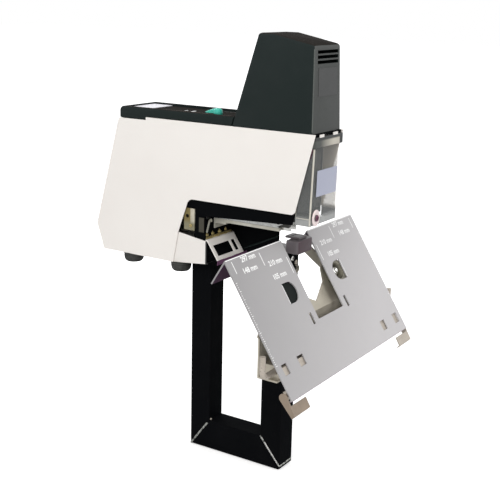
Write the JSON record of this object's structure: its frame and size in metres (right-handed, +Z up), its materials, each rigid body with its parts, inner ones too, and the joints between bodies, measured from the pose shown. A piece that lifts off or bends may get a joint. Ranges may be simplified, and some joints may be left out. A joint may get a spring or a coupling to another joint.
{
  "type": "electric saddle stapler",
  "caption": "Electric stapler head on a slim case, with a hanging tube frame that carries the anvil and a tilting saddle table.",
  "frame": {"origin": "on the underside of the base pan, midway between the left and right feet and between the front and rear feet", "axes": "+Z up; -Y the way the stapling head and the table point; +X to the right of someone facing the way +Y points"},
  "size_m": [0.327, 0.3815, 0.5486],
  "materials": {
    "cream_enamel": "semi-gloss cream stove enamel",
    "white_enamel": "semi-gloss white stove enamel",
    "black_texture": "fine-textured charcoal powder coat",
    "dark_steel": "blackened machined steel",
    "grey_enamel": "smooth grey-lilac enamel",
    "zinc_steel": "olive-beige zinc plate",
    "galvanised_steel": "satin galvanised steel",
    "bright_steel": "polished bright steel",
    "yellow_zinc": "yellow-passivated zinc plate",
    "rubber": "matt black rubber",
    "teal_plastic": "teal moulded plastic",
    "pale_plate": "satin off-white",
    "smoky_clear": "clear smoky acrylic",
    "copper_winding": "varnished copper wire",
    "board": "green laminate"
  },
  "bodies": {
    "machine": {"anvil_block": "grey_enamel", "anvil_plate": "dark_steel", "arm_frame": "black_texture", "base_apron": "white_enamel", "base_pan": "white_enamel", "bottom_tube": "black_texture", "clamp_bar": "yellow_zinc", "control_board": "board", "foot_front_left": "rubber", "foot_front_right": "rubber", "foot_rear_left": "rubber", "foot_rear_right": "rubber", "frame_flange": "black_texture", "front_upright": "black_texture", "guard_screw": "dark_steel", "guard_washer": "white_enamel", "head_block": "dark_steel", "head_shoulder": "pale_plate", "head_strip": "black_texture", "head_tower": "black_texture", "instruction_plate": "pale_plate", "magazine_guide": "galvanised_steel", "mains_inlet": "black_texture", "neck_wall": "black_texture", "pedal_socket": "black_texture", "rear_upright": "black_texture", "rear_wall": "cream_enamel", "return_spring": "bright_steel", "rocker_frame": "black_texture", "side_panel_left": "cream_enamel", "side_panel_right": "cream_enamel", "solenoid_coil": "copper_winding", "solenoid_yoke": "dark_steel", "staple_strip": "bright_steel", "throat_bracket": "galvanised_steel", "throat_shield": "black_texture", "tilt_axle": "bright_steel", "top_cover": "black_texture", "transformer": "dark_steel", "upright_screw": "bright_steel", "weld_front": "dark_steel", "weld_rear": "dark_steel"},
    "driver": {"plunger": "bright_steel", "driver_blade": "bright_steel"},
    "guard": {"guard": "smoky_clear", "guard_plate": "pale_plate"},
    "magazine": {"magazine": "pale_plate"},
    "pusher": {"pusher": "dark_steel"},
    "dial": {"force_dial": "teal_plastic"},
    "rocker": {"power_rocker": "dark_steel"},
    "table": {"table_plate": "grey_enamel", "table_carrier": "zinc_steel", "table_buffer_left": "rubber", "table_buffer_right": "rubber", "buffer_screw": "bright_steel", "stop_mount_left": "zinc_steel", "stop_mount_right": "zinc_steel"},
    "lock_rod": {"lock_rod": "galvanised_steel"},
    "corner_stop_left": {"corner_stop_left": "zinc_steel"},
    "corner_stop_right": {"corner_stop_right": "zinc_steel"}
  },
  "joints": [
    {"name": "driver_stroke", "type": "slide", "parent": "machine", "child": "driver", "axis": [0, 0, -1], "range_m": [0, 0.012], "stiffness_N_per_m": 400, "springref_m": -0.012, "deforming": ["return_spring"]},
    {"name": "guard_lift", "type": "slide", "parent": "machine", "child": "guard", "axis": [0, 0, 1], "range_m": [0, 0.005]},
    {"name": "magazine_slide", "type": "slide", "parent": "machine", "child": "magazine", "axis": [0, -1, 0], "range_m": [0, 0.06]},
    {"name": "pusher_slide", "type": "slide", "parent": "machine", "child": "pusher", "axis": [0, 1, 0], "range_m": [0, 0.045], "stiffness_N_per_m": 60, "springref_m": -0.03},
    {"name": "dial_turn", "type": "hinge", "parent": "machine", "child": "dial", "pos_m": [-0.02, -0.0915, 0.1908], "axis": [0, 0, -1], "range_deg": [-135, 135]},
    {"name": "rocker_switch", "type": "hinge", "parent": "machine", "child": "rocker", "pos_m": [-0.013, 0.08182, 0.05804], "axis": [-1, 0, 0], "range_deg": [0, 8]},
    {"name": "table_tilt", "type": "hinge", "parent": "machine", "child": "table", "pos_m": [0, -0.176, 0.023], "axis": [-1, 0, 0], "range_deg": [0, 57.3]},
    {"name": "lock_rod_swing", "type": "hinge", "parent": "table", "child": "lock_rod", "pos_m": [0, -0.24993, -0.06805], "axis": [1, 0, 0], "range_deg": [0, 80]},
    {"name": "left_stop_fold", "type": "hinge", "parent": "table", "child": "corner_stop_left", "pos_m": [0, -0.27329, -0.08726], "axis": [-1, 0, 0], "range_deg": [0, 90]},
    {"name": "right_stop_fold", "type": "hinge", "parent": "table", "child": "corner_stop_right", "pos_m": [0, -0.27329, -0.08726], "axis": [-1, 0, 0], "range_deg": [0, 90]}
  ]
}
